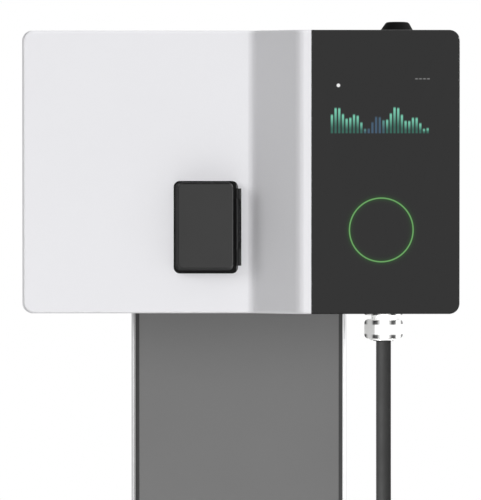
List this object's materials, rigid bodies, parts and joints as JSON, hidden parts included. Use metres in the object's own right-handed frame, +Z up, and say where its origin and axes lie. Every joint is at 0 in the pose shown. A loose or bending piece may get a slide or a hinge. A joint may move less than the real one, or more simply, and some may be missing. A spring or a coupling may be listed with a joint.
{
  "type": "ev wallbox charging station on a floor post",
  "caption": "EV wallbox with a sloped white front, black display block with a light ring, sprung socket lid and tethered cable, carried on a floor post.",
  "frame": {"origin": "centre of the four floor anchors, on the underside of the base plate", "axes": "+Z up, the front with the display and socket faces -Y, +X to the right seen from the front"},
  "size_m": [0.6803, 0.5397, 1.316],
  "materials": {
    "white_shell": "fine satin moulded white",
    "graphite_shell": "fine grained graphite grey",
    "black_shell": "satin black moulding",
    "display_glass": "black glass, polished",
    "light_guide": "clear light guide lit green",
    "board": "green circuit board",
    "module_case": "dark grey moulded cases",
    "post_paint": "mid grey powder coat",
    "rail_aluminium": "brushed and anodised",
    "galvanised_steel": "galvanised",
    "fastener_steel": "zinc plated",
    "nickel_plate": "nickel plated brass",
    "contact_metal": "silver plated",
    "seal_rubber": "matt black rubber",
    "cable_sheath": "satin black sheath",
    "strap_fabric": "woven hook and loop tape",
    "connector_plastic": "grained black moulding"
  },
  "bodies": {
    "station": {"front_cover": "white_shell", "rear_housing": "graphite_shell", "display_housing": "black_shell", "socket_frame": "black_shell", "socket_core": "black_shell", "antenna_dome": "black_shell", "antenna_nut": "black_shell", "post_top_cap": "black_shell", "display_glass": "display_glass", "light_ring": "light_guide", "ring_board": "board", "control_board": "board", "power_board": "board", "lcd_module": "module_case", "power_relays": "module_case", "supply_module": "module_case", "leak_sensor": "module_case", "terminal_block": "module_case", "lock_actuator": "module_case", "post_front_panel": "post_paint", "post_rear_panel": "post_paint", "post_rail_left": "rail_aluminium", "post_rail_right": "rail_aluminium", "base_plate": "galvanised_steel", "foot_brackets": "galvanised_steel", "wall_bracket": "galvanised_steel", "rear_panel_screws": "fastener_steel", "bracket_bolts": "fastener_steel", "hanging_screws": "fastener_steel", "cover_screws": "fastener_steel", "display_screws": "fastener_steel", "board_screws": "fastener_steel", "socket_screws": "fastener_steel", "lid_hinge_pin": "fastener_steel", "lid_spring": "fastener_steel", "gland_body": "nickel_plate", "gland_nut": "nickel_plate", "gland_locknut": "nickel_plate", "socket_contacts": "contact_metal", "connector_contacts": "contact_metal", "panel_gaskets": "seal_rubber", "housing_seal": "seal_rubber", "supply_grommet": "seal_rubber", "socket_seal": "seal_rubber", "gland_seal": "seal_rubber", "connector_boot": "seal_rubber", "charging_cable": "cable_sheath", "cable_coil": "cable_sheath", "cable_tail": "cable_sheath", "coil_straps": "strap_fabric", "connector_handle": "connector_plastic", "connector_nose": "connector_plastic"},
    "lid": {"socket_lid": "black_shell", "lid_seal": "seal_rubber"},
    "lock": {"lock_pin": "fastener_steel"}
  },
  "joints": [
    {"name": "lid_hinge", "type": "hinge", "parent": "station", "child": "lid", "pos_m": [-0.0022, -0.2182, 1.077], "axis": [0, 0, 1], "range_deg": [0, 115], "stiffness_Nm_per_rad": 0.02, "springref_deg": -17.19},
    {"name": "lock_slide", "type": "slide", "parent": "station", "child": "lock", "axis": [1, 0, 0], "range_m": [0, 0.004]}
  ]
}
